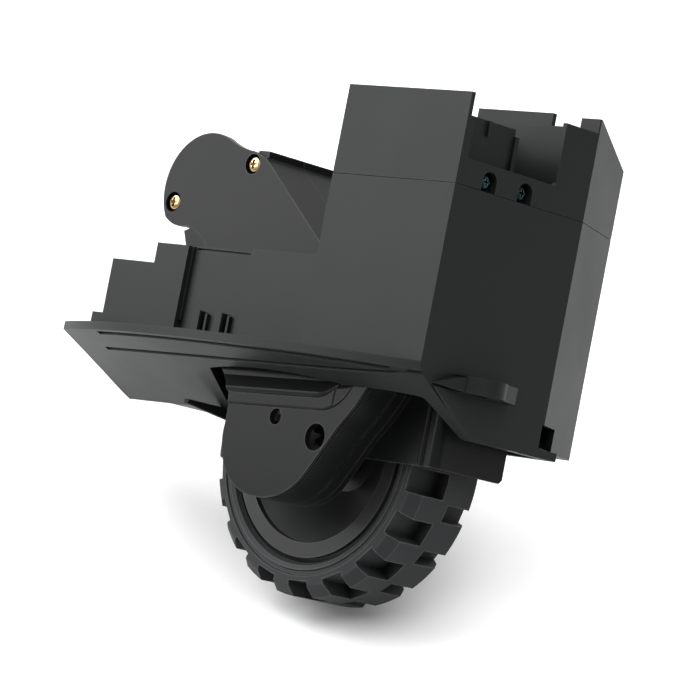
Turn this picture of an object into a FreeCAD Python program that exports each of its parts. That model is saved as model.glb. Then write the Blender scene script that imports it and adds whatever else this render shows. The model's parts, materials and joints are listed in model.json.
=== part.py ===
import FreeCAD, Part
import math
import os

V = FreeCAD.Vector

# Frame: X along the flat front, Y inboard, Z up, origin on the flat underside below the front wall

# Wheel
WHEEL_X = -1.5
WHEEL_Z = -7.3
TYRE_R = 38.2
TYRE_FRONT = 25.1
TYRE_WIDTH = 22.6
TYRE_BORE_R = TYRE_R - 8.8
SHOULDER_FRONT = 2.7
SHOULDER_BACK = 2.2
LUGS = 18
LUG_DEPTH = 4.0
LUG_FRONT = 10.0
LUG_BACK = 10.2
POCKET_FRONT = 0.5
POCKET_BACK = 0.34
TREAD_TURN = -3.4
RING_OUT_R = TYRE_BORE_R - 1.2
RING_IN_R = RING_OUT_R - 3.9
DISH_R = 9.0
DISH_Y = 37.0
AXLE_R = 3.0
AXLE_FRONT = 7.5

# Housing
SIDE_X = 53.1
TALL_X = 10.2
RIM_Z = 13.8
SHELL_T = 2.2
WALL_T = 2.0
SEAM_Z = 60.9
PERIMETER_R = 175.0
PERIMETER_X = -8.0
PERIMETER_Y = -11.2
WING_X = -92.0
WING_RIM = (-88.4, 7.2)
WING_FOOT = (-92.5, 40.0)
LEFT_X = -69.0
PLATE_LEFT_X = -71.0
PLATE_BACK = 55.0
CORNER_Y = 48.4
BACK_X = 39.1
BACK_Y = 75.6
STEP_X = (-69.0, -65.0, -49.0, -37.0)
STEP_Z = (18.7, 33.3, 38.7)
RECESS_Y = 2.0
RECESS_T = 1.6
RECESS_Z = 39.0
PEG_X = (-30.7, -22.4)
PEG_Z = 22.2
SHELF_X = -13.3
SHELF_Z = 39.6
WELL_LEFT = -44.0
WELL_RIGHT = 50.0
MOUTH_TOP = ((-26.4, 0.403), (3.0, 0.322), (23.6, 0.402), (34.0, 0.392), (48.2, 0.42))
MOUTH_GAP = 0.4
MOUTH_SWING = 2.6
MOUTH_LEFT = (-37.4, 23.4)
GROOVE_W = 1.5
GROOVE_DEPTH = 0.8
LONG_GROOVE = ((-71.6, 9.8), (-24.2, -0.6), (48.9, 0.1))
EAR_Z = 10.9
EAR_T = 4.2
EAR_X = 56.6
EAR_Y = 19.3
EAR_R = 6.4
EAR_HOLE_R = 2.15

# Cap
CAP_Z = 83.8
CAP_SIDE_Z = CAP_Z - 6.1
CAP_TAIL_Z = CAP_Z - 5.1
CAP_POST_Z = CAP_Z + 3.7
CAP_PANEL_Z = CAP_Z + 4.5
CAP_T = 1.3
CAP_GAP = 0.15
PANEL_X = 36.7
POST_X = 46.6
NOTCH_Y = (2.6, 35.8)
NOTCH_Z = 67.6
NOTCH_R = 0.9
FLOOR_Z = 65.6
BAY_X = 45.0
BAY_Z = 77.4
BAY_MID_Y = 24.6
BAY_DEEP_X = 28.0
SCREW_Y = (12.0, 25.4)
SCREW_Z = 63.4
CAP_SCREW_R = 1.1
CAP_SCREW_HEAD_R = 2.0
CAP_SCREW_SINK = 2.6

# Arm and gearbox
PIVOT_X = -57.0
PIVOT_Z = 20.0
PIVOT_R = 2.0
PIVOT_GAP = 0.05
LUG_R = 6.0
FACE_Y = 5.5
COVER_T = 1.8
BROW = 1.4
BROW_STEP = 0.6
BROW_LEAN = 2.3
BROW_ROLL = [(-30.0, 3.5), (13.5, 3.5), (18.9, 4.7, 21.6, 6.8), (22.6, 8.6), (-30.0, 8.6)]
BROW_FOOT = [(-30.0, 0.5), (15.0, 0.5), (21.6, 2.0, 25.2, 5.4), (27.4, 8.6), (-30.0, 8.6)]
RIM_GROOVE = 0.4
SEAM_Y = 15.6
SPLIT_Y = 19.5
BACK_T = 2.0
BOX_T = 1.3
SIDE_T = 1.6
MOTOR_X = -41.5
MOTOR_Z = 51.0
MOTOR_R = 12.0
MOTOR_LEN = 25.5
MOTOR_CAP_LEN = 3.6
BOX_END = SPLIT_Y + BACK_T + MOTOR_LEN + MOTOR_CAP_LEN + 0.4
WELL_BACK = BOX_END + 1.0
LIP_X = -20.6
LIP_Z = 66.0
LIP_DEPTH = 2.2
HOLE_SMALL = (1.0, -1.9)
HOLE_SMALL_R = 2.1
HOLE_LARGE = (16.3, -5.7)
HOLE_LARGE_R = 3.5
FENDER_X = 43.6
FENDER_T = 1.6
FENDER_Z = (-8.1, 20.0)
FENDER_BACK = 47.0

# Gears: module and teeth of each mesh, from the motor to the wheel
MESH = ((0.5, 10, 39), (0.8, 14, 44), (1.0, 16, 34), (1.0, 20, 24))
FIRST_GEAR_TURN = -5.0
LAST_GEAR_LEAN = 10.0
TOOTH_FIT = 0.80
GEAR_Y = ((12.4, 15.8), (16.2, 18.9), (8.6, 11.8), (12.4, 15.8))
SEAT_FRONT = (12.1, 8.3, 8.3)
SEAT_BACK = (19.2, 19.2, 16.1)
GEAR_SHAFT_R = 1.5
RUN_GAP = 0.06

# Spring
SPRING_Y = BOX_END + 5.4
SPRING_R = 3.4
SPRING_WIRE = 0.55
SPRING_TURNS = 13
COIL_STEPS = 12
WIRE_SIDES = 6
LOOP_R = 1.9
LOOP_REACH = 5.4
LOOP_STEPS = 14
SPRING_ARM = (-50.0, 57.0)
SPRING_BASE = (7.4, 51.0)

# Wheel drop switch
SWITCH_X = (-68.2, -55.4)
SWITCH_Z = (27.9, 33.1)
SWITCH_Y = (9.0, 14.8)
LEVER_X = -56.4
LEVER_Z = 27.2


def arc3(a, b, c):
    return Part.Arc(a, b, c).toShape()


def circle_y(x, y, z, r):
    return Part.Wire([Part.makeCircle(r, V(x, y, z), V(0, 1, 0))])


def cyl_y(x, z, r, y0, y1):
    return Part.makeCylinder(r, y1 - y0, V(x, y0, z), V(0, 1, 0))


def cyl_z(x, y, r, z0, z1):
    return Part.makeCylinder(r, z1 - z0, V(x, y, z0), V(0, 0, 1))


def cyl_x(y, z, r, x0, x1):
    return Part.makeCylinder(r, x1 - x0, V(x0, y, z), V(1, 0, 0))


def tube_y(x, z, r, bore, y0, y1):
    return cyl_y(x, z, r, y0, y1).cut(cyl_y(x, z, bore, y0, y1))


def box(x0, x1, y0, y1, z0, z1):
    return Part.makeBox(x1 - x0, y1 - y0, z1 - z0, V(x0, y0, z0))


def outline_wire(steps, y):
    start = V(steps[0][0], y, steps[0][1])
    here = start
    edges = []
    for step in steps[1:]:
        if len(step) == 2:
            there = V(step[0], y, step[1])
            edges.append(Part.makeLine(here, there))
        else:
            there = V(step[2], y, step[3])
            edges.append(arc3(here, V(step[0], y, step[1]), there))
        here = there
    if here.distanceToPoint(start) > 1e-6:
        edges.append(Part.makeLine(here, start))
    return Part.Wire(Part.__sortEdges__(edges))


def front_prism(steps, y0, y1, inset=0.0):
    wire = outline_wire(steps, y0)
    if inset:
        wire = wire.makeOffset2D(-inset, 0, False, False)
    return Part.Face(wire).extrude(V(0, y1 - y0, 0))


def plan_prism(points, z0, z1):
    corners = [V(x, y, z0) for x, y in points]
    return Part.Face(Part.makePolygon(corners + corners[:1])).extrude(V(0, 0, z1 - z0))


def side_prism(points, x0, x1):
    corners = [V(x0, y, z) for y, z in points]
    return Part.Face(Part.makePolygon(corners + corners[:1])).extrude(V(x1 - x0, 0, 0))


# Every node is stored with the ear hole's upper end at the origin
SHIFT = V(-EAR_X, -EAR_Y, -EAR_Z - EAR_T)


def save(shape, name):
    shape.translate(SHIFT)
    shape.exportStep("parts/" + name + ".step")


def join(shapes):
    result = shapes[0].multiFuse(shapes[1:])
    return result.removeSplitter()


# Robot perimeter in plan
PERIMETER_CENTRE_Y = PERIMETER_Y + PERIMETER_R


def perimeter(x):
    reach = math.sqrt(PERIMETER_R ** 2 - (x - PERIMETER_X) ** 2)
    return PERIMETER_CENTRE_Y - reach


INNER_X = (WING_X, 0.0, SIDE_X)
INNER_Y = (40.0, 26.0, 22.5)


def inner_edge(x):
    x0, x1, x2 = INNER_X
    y0, y1, y2 = INNER_Y
    a = y0 * (x - x1) * (x - x2) / ((x0 - x1) * (x0 - x2))
    b = y1 * (x - x0) * (x - x2) / ((x1 - x0) * (x1 - x2))
    c = y2 * (x - x0) * (x - x1) / ((x2 - x0) * (x2 - x1))
    return a + b + c


def bevel_arc(share, drop=0.0):
    points = []
    for x in INNER_X:
        y = perimeter(x) + share * (inner_edge(x) - perimeter(x))
        points.append(V(x, y, RIM_Z * (1 - share) - drop))
    return arc3(*points)


def bevel_strip(share0, share1, drop, height):
    face = Part.makeRuledSurface(bevel_arc(share0, drop), bevel_arc(share1, drop))
    return face.extrude(V(0, 0, height))


def bevel_point(x, share):
    return (x, perimeter(x) + share * (inner_edge(x) - perimeter(x)))


def wheel_mouth():
    top = [V(*bevel_point(x, share), -1.0) for x, share in MOUTH_TOP]
    edges = [arc3(*top[:3]), arc3(*top[2:])]
    slope = (MOUTH_LEFT[1] - top[0].y) / (MOUTH_LEFT[0] - top[0].x)
    left_y = MOUTH_LEFT[1] + slope * (WELL_LEFT - MOUTH_LEFT[0])
    corners = [top[-1], V(WELL_RIGHT, 23.0, -1.0), V(WELL_RIGHT, WELL_BACK, -1.0),
               V(WELL_LEFT, WELL_BACK, -1.0), V(WELL_LEFT, left_y, -1.0), top[0]]
    for k in range(len(corners) - 1):
        edges.append(Part.makeLine(corners[k], corners[k + 1]))
    mouth = Part.Face(Part.Wire(Part.__sortEdges__(edges))).extrude(V(0, 0, 13.5))
    rounded = []
    for edge in mouth.Edges:
        middle = edge.BoundBox.Center
        for corner in (top[0], top[-1]):
            if edge.BoundBox.ZLength > 1 and middle.distanceToPoint(V(corner.x, corner.y, middle.z)) < 0.1:
                rounded.append(edge)
    return mouth.makeFillet(2.0, rounded)


def bevel_groove(points):
    near = arc3(*[V(x, y - GROOVE_W / 2, -2.0) for x, y in points])
    far = arc3(*[V(x, y + GROOVE_W / 2, -2.0) for x, y in points])
    band = Part.makeRuledSurface(near, far).extrude(V(0, 0, RIM_Z + 4.0))
    return band.common(bevel_strip(0.0, 1.0, 1.0, 1.0 + GROOVE_DEPTH))


# Housing base
def housing_base():
    shell = bevel_strip(0.0, 1.0, 0.0, SHELL_T)
    below = bevel_strip(0.0, 1.0, 0.0, -40.0)
    high = SEAM_Z - CAP_GAP
    front = [
        box(TALL_X, SIDE_X, 0, WALL_T, 0, high),
        box(SHELF_X, TALL_X, 0, WALL_T, 0, SHELF_Z),
        box(STEP_X[3], SHELF_X, RECESS_Y, RECESS_Y + RECESS_T, 0, RECESS_Z),
        box(STEP_X[0], STEP_X[1], 0, WALL_T, 0, STEP_Z[0]),
        box(STEP_X[1], STEP_X[2], 0, WALL_T, 0, STEP_Z[1]),
        box(STEP_X[2], STEP_X[3], 0, WALL_T, 0, STEP_Z[2]),
        box(STEP_X[3] - WALL_T, STEP_X[3], 0, RECESS_Y + RECESS_T, 0, STEP_Z[2]),
        box(STEP_X[3] - 0.5, STEP_X[3] + 0.7, RECESS_Y - 0.8, RECESS_Y + 0.5, PEG_Z - 3.0, STEP_Z[2]),
        box(SHELF_X, SHELF_X + WALL_T, 0, RECESS_Y + RECESS_T, 0, RECESS_Z),
        plan_prism([(SHELF_X - 2.2, RECESS_Y + 0.2), (SHELF_X, 0), (SHELF_X + 0.5, 0),
                    (SHELF_X + 0.5, RECESS_Y + 0.2)], 0, RECESS_Z),
    ]
    pegs = []
    for x in PEG_X:
        pegs.append(box(x, x + 2.3, 0.2, RECESS_Y + 0.5, 0, PEG_Z))
        pegs.append(box(x + 3.7, x + 4.4, 1.0, RECESS_Y + 0.5, 0, PEG_Z - 0.6))
    sides = [
        box(SIDE_X - WALL_T, SIDE_X, 0, CORNER_Y, 0, high),
        box(LEFT_X, LEFT_X + WALL_T, 0, WELL_BACK + WALL_T, 0, STEP_Z[0]),
    ]
    solid = join([shell] + [w.cut(below) for w in front + pegs + sides])
    # Angled rear corner and rear walls of the tall block
    ring = plan_prism(tall_plan(0.0), 2.4, high).cut(plan_prism(tall_plan(WALL_T), 0, high + 1))
    rear = ring.common(box(TALL_X - 1, SIDE_X + 1, WELL_BACK, BACK_Y + 1, 0, high))
    right = ring.common(box(SIDE_X - 12, SIDE_X + 1, CORNER_Y - 1, BACK_Y + 1, 0, high))
    rear_floor = plan_prism(tall_plan(0.0), 2.4, 4.6).common(box(TALL_X, SIDE_X, WELL_BACK, BACK_Y, 0, 10))
    # Underside plate
    plate = box(PLATE_LEFT_X, SIDE_X, 0, PLATE_BACK, 0, SHELL_T)
    front_line = [V(x, inner_edge(x), -1) for x in INNER_X]
    edge = arc3(*front_line)
    far0 = V(SIDE_X, -30, -1)
    far1 = V(WING_X, -30, -1)
    corners = [front_line[2], far0, far1, front_line[0]]
    lines = [Part.makeLine(corners[k], corners[k + 1]) for k in range(3)]
    ahead = Part.Face(Part.Wire(Part.__sortEdges__([edge] + lines))).extrude(V(0, 0, 8))
    plate = plate.cut(ahead)
    # Walls round the wheel well
    well = [
        box(WELL_LEFT - WALL_T, WELL_LEFT, 26.0, WELL_BACK, 0, 26.0).cut(below),
        box(LEFT_X, TALL_X + WALL_T, WELL_BACK, WELL_BACK + WALL_T, 0, 31.0),
        box(TALL_X, SIDE_X - 3.3, WELL_BACK, WELL_BACK + WALL_T, 0, 50.0),
    ]
    solid = join([solid, plate, rear, right, rear_floor] + well)
    # Slanted end of the wing
    run = (WING_FOOT[0] - WING_RIM[0]) / (WING_FOOT[1] - WING_RIM[1])
    ends = [(WING_RIM[0] + run * (y - WING_RIM[1]), y) for y in (-5.0, PLATE_BACK)]
    beyond = ends + [(WING_X - 20.0, PLATE_BACK), (WING_X - 20.0, -5.0)]
    solid = solid.cut(plan_prism(beyond, -5.0, RIM_Z + 10.0))
    # Grooves along the bevel and the line at the top of the recess
    rim_groove = [bevel_point(x, 0.045) for x in (STEP_X[1], -8.0, SIDE_X)]
    for points in (rim_groove, LONG_GROOVE):
        solid = solid.cut(bevel_groove(points))
    solid = solid.cut(box(STEP_X[3] + 1.4, SHELF_X - 2.4, 0, RECESS_Y + 0.8, RECESS_Z - 1.0, RECESS_Z - 0.5))
    # Wheel opening through bevel and underside
    solid = solid.cut(wheel_mouth())
    # Pivot supports
    front_boss = cyl_y(PIVOT_X, PIVOT_Z, LUG_R - 1.0, WALL_T - 0.5, FACE_Y + 0.9)
    stand = front_prism([(-66.5, 0.0), (-63.0, 26.4), (-51.0, 26.4), (-47.5, 0.0)],
                        SPLIT_Y + 3.0, SPLIT_Y + 5.2).cut(below)
    rear_boss = cyl_y(PIVOT_X, PIVOT_Z, LUG_R - 1.0, SPLIT_Y + 1.2, SPLIT_Y + 5.2)
    solid = join([solid, front_boss, stand, rear_boss])
    solid = solid.cut(cyl_y(PIVOT_X, PIVOT_Z, PIVOT_R, 1.0, SPLIT_Y + 6.0))
    # Seat for the wheel drop switch
    for x in (SWITCH_X[0] + 3.2, SWITCH_X[1] - 3.2):
        solid = solid.fuse(cyl_y(x, sum(SWITCH_Z) / 2 - 0.6, 1.05, WALL_T - 0.5, SWITCH_Y[1] + 0.6))
    shelf = box(STEP_X[1] + 0.4, SWITCH_X[1] - 0.4, WALL_T - 0.5, SWITCH_Y[0], 29.4, 32.6)
    solid = solid.fuse(shelf)
    # Spring post
    base_x, base_z = SPRING_BASE
    hook = cyl_y(base_x + 0.6, base_z, 1.4, WELL_BACK + 1.0, SPRING_Y + 2.4)
    bridge = box(base_x - 1.2, TALL_X + 1.0, WELL_BACK - 0.2, WELL_BACK + 1.6, base_z - 4, base_z + 3)
    groove = tube_y(base_x + 0.6, base_z, 2.0, 1.0, SPRING_Y - 0.8, SPRING_Y + 0.8)
    solid = join([solid, hook.cut(groove), bridge])
    # Mounting ear with its tapered gusset, and the skirt below it
    ear = join([cyl_z(EAR_X, EAR_Y, EAR_R, EAR_Z, EAR_Z + EAR_T),
                plan_prism([(SIDE_X - 0.5, EAR_Y - EAR_R), (EAR_X, EAR_Y - EAR_R), (EAR_X + 4.0, EAR_Y + 5.0),
                            (EAR_X + 2.0, EAR_Y + 11.0), (SIDE_X - 0.5, EAR_Y + 14.6)],
                           EAR_Z, EAR_Z + EAR_T)])
    gusset = side_prism([(4.7, EAR_Z + 0.8), (EAR_Y - 5.0, EAR_Z + EAR_T), (EAR_Y - 5.0, EAR_Z)],
                        SIDE_X - 0.5, EAR_X + 1.0)
    gusset = gusset.common(plan_prism([(SIDE_X - 0.5, 4.0), (SIDE_X, 4.7), (EAR_X + 0.6, EAR_Y - EAR_R + 0.6),
                                       (EAR_X + 0.6, EAR_Y), (SIDE_X - 0.5, EAR_Y)], 0, RIM_Z + 4.0))
    skirt = side_prism([(21.6, 0.0), (40.0, 0.0), (37.0, EAR_Z), (5.4, EAR_Z)], SIDE_X - 0.5, SIDE_X + 1.0)
    solid = join([solid, ear, gusset, skirt])
    solid = solid.cut(cyl_z(EAR_X, EAR_Y, EAR_HOLE_R, EAR_Z - 1, EAR_Z + EAR_T + 1))
    # Small notch at the rear foot
    solid = solid.cut(box(45.0, 54.0, CORNER_Y - 0.7, CORNER_Y + 9.6, 2.5, 8.4))
    # Screw blocks for the cap
    for y in SCREW_Y:
        block = box(SIDE_X - 9.0, SIDE_X - WALL_T + 0.1, y - 2.6, y + 2.6, SEAM_Z - 8.0, SEAM_Z - CAP_GAP)
        tab = box(SIDE_X - 9.0, SIDE_X - 4.6, y - 2.6, y + 2.6, SEAM_Z - 4.0, FLOOR_Z - CAP_GAP)
        solid = solid.fuse(block.fuse(tab))
        solid = solid.cut(cyl_x(y, SCREW_Z, CAP_SCREW_R, SIDE_X - 12, SIDE_X))
    return solid


def tall_plan(inset):
    lean = math.atan2(SIDE_X - BACK_X, BACK_Y - CORNER_Y)
    side = SIDE_X - inset
    back = BACK_Y - inset
    corner = CORNER_Y - inset * math.tan(lean / 2)
    slope = (SIDE_X - BACK_X) / (BACK_Y - CORNER_Y)
    back_x = side - slope * (back - corner)
    return [(TALL_X + inset, inset), (side, inset), (side, corner), (back_x, back), (TALL_X + inset, back)]


# Cap
def top_cap():
    outer = plan_prism(tall_plan(0.0), SEAM_Z, CAP_PANEL_Z)
    inner = plan_prism(tall_plan(CAP_T), SEAM_Z - 1, CAP_PANEL_Z + 1)
    walls = outer.cut(inner)
    cross = box(TALL_X + 0.5, SIDE_X - 0.5, CORNER_Y - 0.6, CORNER_Y + CAP_T - 0.6, FLOOR_Z, CAP_PANEL_Z)
    floor = plan_prism(tall_plan(0.5), FLOOR_Z, FLOOR_Z + 1.6)
    solid = join([walls, cross, floor])
    # Height of each side
    over = CAP_PANEL_Z + 1
    front_over = box(TALL_X - 1, SIDE_X + 1, -1, CORNER_Y - 0.6, CAP_Z, over)
    left_over = box(TALL_X - 1, TALL_X + CAP_T + 0.01, CAP_T, CORNER_Y - 0.6, CAP_SIDE_Z, over)
    tail = side_prism([(CORNER_Y + CAP_T - 0.6, CAP_POST_Z), (BACK_Y + 1, CAP_TAIL_Z), (BACK_Y + 1, over),
                       (CORNER_Y + CAP_T - 0.6, over)], TALL_X - 1, SIDE_X + 1)
    dip = box(PANEL_X, POST_X, CORNER_Y - 1, CORNER_Y + CAP_T, CAP_Z - 1.0, over)
    post_over = box(PANEL_X, SIDE_X + 1, CORNER_Y - 1, CORNER_Y + CAP_T, CAP_POST_Z, over)
    solid = solid.cut(front_over).cut(left_over).cut(tail).cut(dip).cut(post_over)
    # Open bay in the side wall
    gap = box(SIDE_X - CAP_T - 0.2, SIDE_X + 1, NOTCH_Y[0], NOTCH_Y[1], NOTCH_Z, CAP_Z + 5)
    long_edges = [e for e in gap.Edges if abs(e.BoundBox.XLength) > 1 and e.BoundBox.ZMax < NOTCH_Z + 0.1]
    solid = solid.cut(gap.makeFillet(NOTCH_R, long_edges))
    sliver = box(SIDE_X - CAP_T - 0.2, SIDE_X + 0.1, CAP_T, NOTCH_Y[0] + 0.01, CAP_SIDE_Z, CAP_Z + 1)
    solid = solid.cut(sliver)
    # Bay walls
    low = FLOOR_Z + 0.5
    front_bay = box(BAY_X, BAY_X + CAP_T, CAP_T - 0.3, BAY_MID_Y + 0.5, low, BAY_Z + 1.9)
    middle = box(BAY_DEEP_X, BAY_X + CAP_T + 0.9, BAY_MID_Y, BAY_MID_Y + CAP_T, low, BAY_Z)
    deep_bay = box(BAY_DEEP_X, BAY_DEEP_X + CAP_T, BAY_MID_Y, NOTCH_Y[1] + 0.5, low, BAY_Z + 1.9)
    bay_back = box(BAY_DEEP_X, SIDE_X - CAP_T + 0.1, NOTCH_Y[1], NOTCH_Y[1] + CAP_T, low, CAP_Z - 0.9)
    short_rib = box(BAY_X + 1.0, BAY_X + 2.2, 14.4, 15.2, BAY_Z - 2.0, BAY_Z + 1.9)
    solid = join([solid, front_bay, middle, deep_bay, bay_back, short_rib])
    # Arched screw notches and clear holes
    for y in SCREW_Y:
        arch = join([cyl_x(y, SCREW_Z, 2.6, SIDE_X - CAP_SCREW_SINK, SIDE_X + 1),
                     box(SIDE_X - CAP_SCREW_SINK, SIDE_X + 1, y - 2.6, y + 2.6, SEAM_Z - 1, SCREW_Z)])
        pad = box(SIDE_X - 4.4, SIDE_X - 1.0, y - 3.2, y + 3.2, SEAM_Z + 0.1, FLOOR_Z + 0.4)
        solid = solid.fuse(pad).cut(arch)
        solid = solid.cut(cyl_x(y, SCREW_Z, CAP_SCREW_R + 0.15, SIDE_X - 6, SIDE_X))
    # Cable pass in the floor
    return solid.cut(box(13.5, BAY_DEEP_X - 2.5, 30.0, 42.0, FLOOR_Z - 1, FLOOR_Z + 3))


def cap_screws():
    solids = []
    for y in SCREW_Y:
        seat = SIDE_X - CAP_SCREW_SINK
        top = seat + 1.6
        head = cyl_x(y, SCREW_Z, CAP_SCREW_HEAD_R, seat, top)
        slot = box(top - 0.8, top + 1, y - 1.3, y + 1.3, SCREW_Z - 0.25, SCREW_Z + 0.25)
        slot2 = box(top - 0.8, top + 1, y - 0.25, y + 0.25, SCREW_Z - 1.3, SCREW_Z + 1.3)
        shank = cyl_x(y, SCREW_Z, CAP_SCREW_R, SIDE_X - 8.6, seat)
        solids.append(head.cut(slot).cut(slot2).fuse(shank).removeSplitter())
    return Part.makeCompound(solids)


def bay_connector():
    top = FLOOR_Z + 1.6
    body = box(BAY_X - 15.0, BAY_X - 3.0, 5.0, 20.0, top, top + 7.0)
    hollow = box(BAY_X - 14.0, BAY_X - 4.0, 6.0, 19.0, top + 1.5, top + 8)
    key = box(BAY_X - 10.0, BAY_X - 8.0, 4.4, 5.2, top, top + 7.0)
    return body.cut(hollow).fuse(key).removeSplitter()


def connector_pins():
    top = FLOOR_Z + 1.6
    pins = []
    x = BAY_X - 12.0
    for column in range(5):
        y = 7.5 + column * 2.5
        pins.append(box(x - 0.32, x + 0.32, y - 0.32, y + 0.32, top + 1.5, top + 6.2))
    return Part.makeCompound(pins)


# Gearbox outlines, seen from the front
SCREW_XZ = ((-52.3, 50.5), (-25.1, 62.2))
LOWER = [
    (-36.6, 39.6), (-38.0, 34.5), (-53.6, 24.95), (-62.9, 21.0, -57.6, 14.03), (-33.0, 13.2), (-23.0, 10.0),
    (-20.4, 6.9), (-17.6, 4.0, -16.8, 0.6), (-16.8, -5.6), (-12.3, -18.3, -1.2, -22.8),
    (7.6, -21.2, 14.3, -16.1), (23.5, -2.3), (27.6, 2.9, 31.2, 8.7), (31.2, 17.0), (22.0, 30.5),
    (3.2, 44.9), (-20.6, 64.1),
]
PLATE_OUTLINE = [(-20.6, 64.1), (-25.3, 65.6), (-30.6, 66.5, -35.5, 68.35), (-52.4, 64.9, -54.2, 46.4),
                 (-50.2, 44.5, -45.5, 44.5), (-40.5, 42.7, -36.6, 39.6)] + LOWER[1:]
WALL_OUTLINE = [(-20.6, 64.1), (-43.0, 64.1), (-51.6, 61.2, -55.6, 52.5), (-55.5, 47.4, -53.0, 45.6),
                (-50.0, 44.6), (-45.5, 44.5), (-40.5, 42.7, -36.6, 39.6)] + LOWER[1:]
BOX_OUTLINE = [(-20.6, 64.1), (-43.0, 64.4), (-54.95, 50.0, -42.5, 37.6), (-30.0, 36.0), (-26.0, 33.4),
               (2.2, 33.4), (3.2, 34.4), (3.2, 44.9)]


def train():
    places = [(MOTOR_X, MOTOR_Z)]
    reach = [m * (a + b) / 2.0 for m, a, b in MESH]
    turn = math.radians(FIRST_GEAR_TURN)
    places.append((MOTOR_X + reach[0] * math.cos(turn), MOTOR_Z + reach[0] * math.sin(turn)))
    lean = math.radians(LAST_GEAR_LEAN)
    third = (WHEEL_X + reach[3] * math.sin(lean), WHEEL_Z + reach[3] * math.cos(lean))
    dx = third[0] - places[1][0]
    dz = third[1] - places[1][1]
    span = math.hypot(dx, dz)
    along = (reach[1] ** 2 - reach[2] ** 2 + span ** 2) / (2 * span)
    off = math.sqrt(max(reach[1] ** 2 - along ** 2, 0.0))
    first_x, first_z = places[1]
    places.append((first_x + (along * dx + off * dz) / span, first_z + (along * dz - off * dx) / span))
    places.append(third)
    places.append((WHEEL_X, WHEEL_Z))
    return places


GEARS = train()


def toothed(x, z, module, teeth, phase, y0, y1, bore):
    pitch = module * teeth / 2.0
    tip = pitch + module * 0.95
    root = pitch - module * 1.2
    step = 2 * math.pi / teeth
    half = TOOTH_FIT * step / 4.0
    corners = []
    for k in range(teeth):
        mid = phase + k * step
        for angle, radius in ((-1.45 * half, root), (-0.95 * half, pitch), (-0.45 * half, tip),
                              (0.45 * half, tip), (0.95 * half, pitch), (1.45 * half, root)):
            corners.append(V(x + radius * math.cos(mid + angle), y0, z + radius * math.sin(mid + angle)))
    solid = Part.Face(Part.makePolygon(corners + corners[:1])).extrude(V(0, y1 - y0, 0))
    if bore:
        solid = solid.cut(cyl_y(x, z, bore, y0 - 1, y1 + 1))
    return solid


def mesh_phases(index):
    x0, z0 = GEARS[index]
    x1, z1 = GEARS[index + 1]
    line = math.atan2(z1 - z0, x1 - x0)
    return line, line + math.pi + math.pi / MESH[index][2]


def driver_gear(index, bore):
    module, teeth, _ = MESH[index]
    return toothed(*GEARS[index], module, teeth, mesh_phases(index)[0], *GEAR_Y[index], bore)


def driven_gear(index, bore):
    module, _, teeth = MESH[index]
    low, high = GEAR_Y[index]
    return toothed(*GEARS[index + 1], module, teeth, mesh_phases(index)[1], low + 0.2, high - 0.2, bore)


def compound_gear(index):
    x, z = GEARS[index]
    bore = GEAR_SHAFT_R + RUN_GAP
    wheel = driven_gear(index - 1, bore)
    pinion = driver_gear(index, bore)
    low = min(GEAR_Y[index - 1][0], GEAR_Y[index][0])
    high = max(GEAR_Y[index - 1][1], GEAR_Y[index][1])
    module, teeth, _ = MESH[index]
    neck = tube_y(x, z, module * (teeth / 2.0 - 1.4), bore, low + 0.2, high - 0.2)
    return join([wheel, pinion, neck])


def output_gear():
    ring = driven_gear(3, AXLE_R)
    front = tube_y(WHEEL_X, WHEEL_Z, AXLE_R + 0.7, AXLE_R, 8.7, 12.8)
    back = tube_y(WHEEL_X, WHEEL_Z, AXLE_R + 2.0, AXLE_R, 15.0, SPLIT_Y - 0.3)
    return join([ring, front, back])


# Rounded brow over the wheel end, in two rolls that stay clear of the wheel opening's edge
def brow_roll(outline, front, radius):
    roll = front_prism(outline, front, FACE_Y + 0.4)
    lower = []
    for edge in roll.Edges:
        if edge.BoundBox.YMax < front + 0.01 and edge.BoundBox.ZMin < 6.9 and edge.BoundBox.XMax > -29.0:
            lower.append(edge)
    return roll.makeFillet(radius, lower)


def wheel_brow():
    roll = brow_roll(BROW_ROLL, FACE_Y - BROW, BROW * 0.7)
    slope = side_prism([(FACE_Y, 8.0), (FACE_Y - BROW, 4.9), (FACE_Y - BROW, 0.0), (FACE_Y + 1, 0.0),
                        (FACE_Y + 1, 8.0)], -40.0, 40.0)
    foot = brow_roll(BROW_FOOT, FACE_Y - BROW_STEP, BROW_STEP * 0.85)
    fade = side_prism([(FACE_Y + 0.1, 7.6), (FACE_Y - BROW_STEP, 5.6), (FACE_Y - BROW_STEP, 0.0),
                       (FACE_Y + 1, 0.0), (FACE_Y + 1, 7.6)], -40.0, 40.0)
    brow = roll.common(slope).fuse(foot.common(fade))
    brow.rotate(V(0, 0, 0), V(0, 1, 0), -BROW_LEAN)
    brow = brow.common(front_prism(PLATE_OUTLINE, FACE_Y - 4.0, FACE_Y + 0.4))
    for run in (0.0, -MOUTH_SWING):
        clear = wheel_mouth()
        clear.translate(V(run, MOUTH_GAP, 0))
        brow = brow.common(clear)
    return brow


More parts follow.
